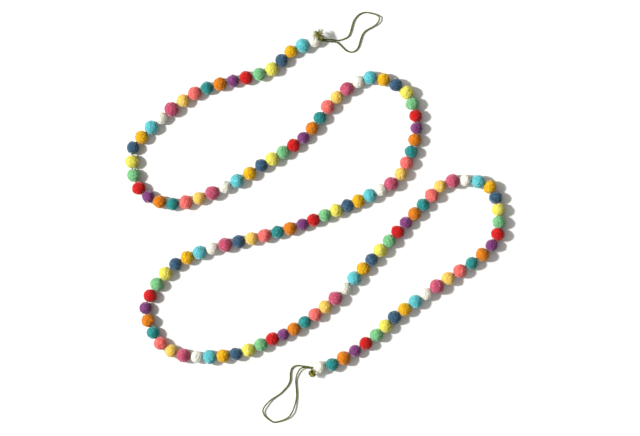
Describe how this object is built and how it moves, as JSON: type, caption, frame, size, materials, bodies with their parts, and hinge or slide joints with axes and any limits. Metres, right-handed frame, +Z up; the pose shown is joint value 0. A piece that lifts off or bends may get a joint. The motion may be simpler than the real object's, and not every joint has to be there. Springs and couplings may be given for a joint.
{
  "type": "felt ball garland",
  "caption": "Garland of multicoloured wool felt balls threaded on one thin cord, laid out in S-shaped sweeps, with a knot, a frayed tuft and a hanging loop at each end",
  "frame": {"origin": "on the surface that the garland lies on, under the middle of the balls' box; the loops, knots and tufts at the ends are left out of that box", "axes": "+Z up, away from the surface; +X along the longer side of the area that the balls cover, to the right when it is seen from above with the loop next to ball 1 at the far side; +Y towards that loop"},
  "size_m": [0.5798, 0.6299, 0.0266],
  "materials": {
    "wool_felt": "wet-felted wool, matt and slightly fuzzy, dyed in thirteen colours that repeat along the cord",
    "twisted_cord": "thin twisted cotton or jute cord, olive green, matt",
    "frayed_cord": "frayed ends of the same cord, lighter yellow-green fibres"
  },
  "bodies": {
    "root": {"balls_01": "wool_felt", "balls_02": "wool_felt", "balls_03": "wool_felt", "balls_04": "wool_felt", "balls_05": "wool_felt", "balls_06": "wool_felt", "balls_07": "wool_felt", "balls_08": "wool_felt", "balls_09": "wool_felt", "balls_10": "wool_felt", "balls_11": "wool_felt", "balls_12": "wool_felt", "balls_13": "wool_felt", "balls_14": "wool_felt", "balls_15": "wool_felt", "balls_16": "wool_felt", "balls_17": "wool_felt", "balls_18": "wool_felt", "balls_19": "wool_felt", "balls_20": "wool_felt", "balls_21": "wool_felt", "balls_22": "wool_felt", "balls_23": "wool_felt", "balls_24": "wool_felt", "balls_25": "wool_felt", "balls_26": "wool_felt", "balls_27": "wool_felt", "balls_28": "wool_felt", "balls_29": "wool_felt", "balls_30": "wool_felt", "balls_31": "wool_felt", "balls_32": "wool_felt", "balls_33": "wool_felt", "balls_34": "wool_felt", "balls_35": "wool_felt", "balls_36": "wool_felt", "balls_37": "wool_felt", "balls_38": "wool_felt", "balls_39": "wool_felt", "balls_40": "wool_felt", "balls_41": "wool_felt", "balls_42": "wool_felt", "balls_43": "wool_felt", "top_loop": "twisted_cord", "end_loop": "twisted_cord", "top_knot": "twisted_cord", "end_knot": "twisted_cord", "top_tuft": "frayed_cord", "end_tuft": "frayed_cord"}
  },
  "joints": []
}
